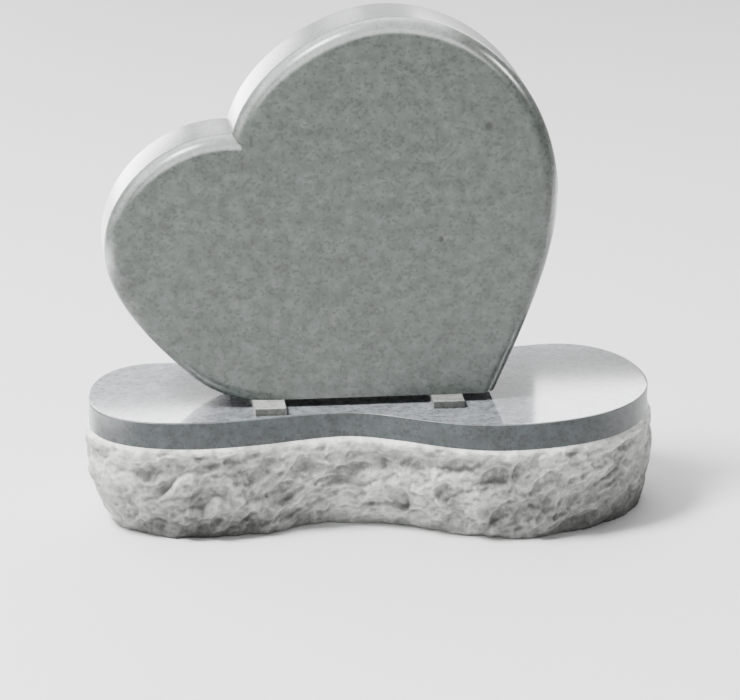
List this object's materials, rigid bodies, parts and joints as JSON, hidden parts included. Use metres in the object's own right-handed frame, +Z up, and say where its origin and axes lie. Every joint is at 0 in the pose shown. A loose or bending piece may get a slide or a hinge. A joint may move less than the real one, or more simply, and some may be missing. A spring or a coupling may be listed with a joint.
{
  "type": "headstone",
  "caption": "Granite headstone: an uneven heart-shaped tablet standing on a low lobed base with a polished top, a smooth margin and rock-pitched sides.",
  "frame": {"origin": "on the floor under the middle of the whole stone's bounding box", "axes": "+Z up, +X along the base towards its larger lobe, the tablet's face looks along -Y"},
  "size_m": [0.9276, 0.4186, 0.8291],
  "materials": {
    "tablet_granite": "satin",
    "base_granite": "polished",
    "spacer_stone": "matte"
  },
  "bodies": {
    "root": {"tablet": "tablet_granite", "base": "base_granite", "spacer_left": "spacer_stone", "spacer_right": "spacer_stone"}
  },
  "joints": []
}
